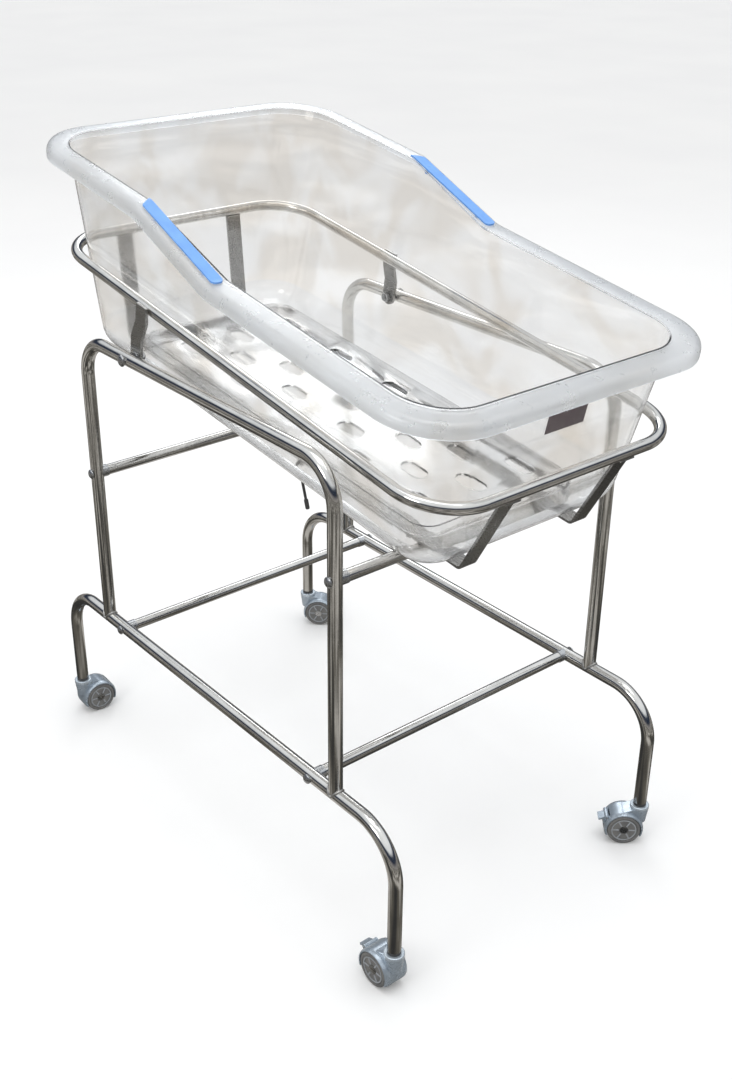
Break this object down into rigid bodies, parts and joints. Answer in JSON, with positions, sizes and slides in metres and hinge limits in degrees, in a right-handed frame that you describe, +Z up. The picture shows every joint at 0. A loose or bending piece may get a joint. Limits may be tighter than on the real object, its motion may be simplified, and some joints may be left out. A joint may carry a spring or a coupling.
{
  "type": "hospital bassinet",
  "caption": "Clear newborn tub in a tilting ring cradle on a bent-tube steel stand with swivel casters.",
  "frame": {"origin": "on the floor under the middle of the bounding box", "axes": "+X to the foot end, +Y to the right side as seen from the foot end, +Z up"},
  "size_m": [0.8784, 0.5466, 0.9677],
  "materials": {
    "clear_tub": "clear gloss",
    "blue_trim": "satin",
    "plain_plate": "matte",
    "flat_steel": "brushed",
    "plated_steel": "bright",
    "black_plastic": "matte",
    "black_rod": "satin",
    "caster_plastic": "satin",
    "caster_cap": "satin",
    "wheel_grey": "matte",
    "tube_steel": "polished"
  },
  "bodies": {
    "base": {"bar_bolts": "plated_steel", "bar_plugs": "black_plastic", "bar_saddles": "black_plastic", "caster_plugs": "black_plastic", "caster_stems": "plated_steel", "lower_foot_bar": "tube_steel", "lower_head_bar": "tube_steel", "lower_rail_left": "tube_steel", "lower_rail_right": "tube_steel", "pivot_bolts": "plated_steel", "pivot_nuts": "plated_steel", "pivot_washers": "black_plastic", "upper_foot_bar": "tube_steel", "upper_head_bar": "tube_steel", "upper_hoop_left": "tube_steel", "upper_hoop_right": "tube_steel"},
    "cradle": {"cradle_ring": "tube_steel", "strap_left": "flat_steel", "strap_right": "flat_steel", "pivot_bracket_left": "flat_steel", "pivot_bracket_right": "flat_steel", "stay_lug": "flat_steel"},
    "tub": {"tub": "clear_tub", "rim_pad_left": "blue_trim", "rim_pad_right": "blue_trim", "plain_plate": "plain_plate"},
    "stay": {"stay_rod": "black_rod", "stay_tip": "black_plastic", "stay_washer": "plated_steel"},
    "caster_head_left": {"caster_hood_head_left": "caster_plastic", "caster_cap_head_left": "caster_cap", "axle_head_left": "plated_steel"},
    "wheel_left_head_left": {"wheel_left_head_left": "wheel_grey"},
    "wheel_right_head_left": {"wheel_right_head_left": "wheel_grey"},
    "caster_head_right": {"caster_hood_head_right": "caster_plastic", "caster_cap_head_right": "caster_cap", "axle_head_right": "plated_steel"},
    "wheel_left_head_right": {"wheel_left_head_right": "wheel_grey"},
    "wheel_right_head_right": {"wheel_right_head_right": "wheel_grey"},
    "caster_foot_left": {"caster_hood_foot_left": "caster_plastic", "caster_cap_foot_left": "caster_cap", "axle_foot_left": "plated_steel", "brake_pin_foot_left": "plated_steel"},
    "wheel_left_foot_left": {"wheel_left_foot_left": "wheel_grey"},
    "wheel_right_foot_left": {"wheel_right_foot_left": "wheel_grey"},
    "brake_foot_left": {"brake_lever_foot_left": "caster_plastic"},
    "caster_foot_right": {"caster_hood_foot_right": "caster_plastic", "caster_cap_foot_right": "caster_cap", "axle_foot_right": "plated_steel", "brake_pin_foot_right": "plated_steel"},
    "wheel_left_foot_right": {"wheel_left_foot_right": "wheel_grey"},
    "wheel_right_foot_right": {"wheel_right_foot_right": "wheel_grey"},
    "brake_foot_right": {"brake_lever_foot_right": "caster_plastic"}
  },
  "joints": [
    {"name": "cradle_tilt", "type": "hinge", "parent": "base", "child": "cradle", "pos_m": [-0.18004, -0.01459, 0.702], "axis": [0, -1, 0], "range_deg": [0, 18]},
    {"name": "tub_lift", "type": "slide", "parent": "cradle", "child": "tub", "axis": [0.1573, 0, 0.9876], "range_m": [0, 0.25]},
    {"name": "stay_swing", "type": "hinge", "parent": "cradle", "child": "stay", "pos_m": [0.02556, -0.11159, 0.58524], "axis": [0, 1, 0], "range_deg": [-60, 60]},
    {"name": "swivel_head_left", "type": "hinge", "parent": "base", "child": "caster_head_left", "pos_m": [-0.42044, -0.25459, 0.064], "axis": [0, 0, 1], "continuous": true},
    {"name": "spin_left_head_left", "type": "hinge", "parent": "caster_head_left", "child": "wheel_left_head_left", "pos_m": [-0.41929, -0.23262, 0.025], "axis": [-0.9986, 0.0523, 0], "continuous": true},
    {"name": "spin_right_head_left", "type": "hinge", "parent": "caster_head_left", "child": "wheel_right_head_left", "pos_m": [-0.41929, -0.23262, 0.025], "axis": [-0.9986, 0.0523, 0], "continuous": true},
    {"name": "swivel_head_right", "type": "hinge", "parent": "base", "child": "caster_head_right", "pos_m": [-0.42044, 0.22541, 0.064], "axis": [0, 0, 1], "continuous": true},
    {"name": "spin_left_head_right", "type": "hinge", "parent": "caster_head_right", "child": "wheel_left_head_right", "pos_m": [-0.40488, 0.24097, 0.025], "axis": [-0.7071, 0.7071, 0], "continuous": true},
    {"name": "spin_right_head_right", "type": "hinge", "parent": "caster_head_right", "child": "wheel_right_head_right", "pos_m": [-0.40488, 0.24097, 0.025], "axis": [-0.7071, 0.7071, 0], "continuous": true},
    {"name": "swivel_foot_left", "type": "hinge", "parent": "base", "child": "caster_foot_left", "pos_m": [0.39556, -0.25459, 0.064], "axis": [0, 0, 1], "continuous": true},
    {"name": "spin_left_foot_left", "type": "hinge", "parent": "caster_foot_left", "child": "wheel_left_foot_left", "pos_m": [0.37356, -0.25459, 0.025], "axis": [0, -1, 0], "continuous": true},
    {"name": "spin_right_foot_left", "type": "hinge", "parent": "caster_foot_left", "child": "wheel_right_foot_left", "pos_m": [0.37356, -0.25459, 0.025], "axis": [0, -1, 0], "continuous": true},
    {"name": "brake_press_foot_left", "type": "hinge", "parent": "caster_foot_left", "child": "brake_foot_left", "pos_m": [0.34806, -0.25459, 0.041], "axis": [0, -1, 0], "range_deg": [0, 9]},
    {"name": "swivel_foot_right", "type": "hinge", "parent": "base", "child": "caster_foot_right", "pos_m": [0.39556, 0.22541, 0.064], "axis": [0, 0, 1], "continuous": true},
    {"name": "spin_left_foot_right", "type": "hinge", "parent": "caster_foot_right", "child": "wheel_left_foot_right", "pos_m": [0.38084, 0.20907, 0.025], "axis": [0.7431, -0.6691, 0], "continuous": true},
    {"name": "spin_right_foot_right", "type": "hinge", "parent": "caster_foot_right", "child": "wheel_right_foot_right", "pos_m": [0.38084, 0.20907, 0.025], "axis": [0.7431, -0.6691, 0], "continuous": true},
    {"name": "brake_press_foot_right", "type": "hinge", "parent": "caster_foot_right", "child": "brake_foot_right", "pos_m": [0.36378, 0.19012, 0.041], "axis": [0.7431, -0.6691, 0], "range_deg": [0, 9]}
  ]
}
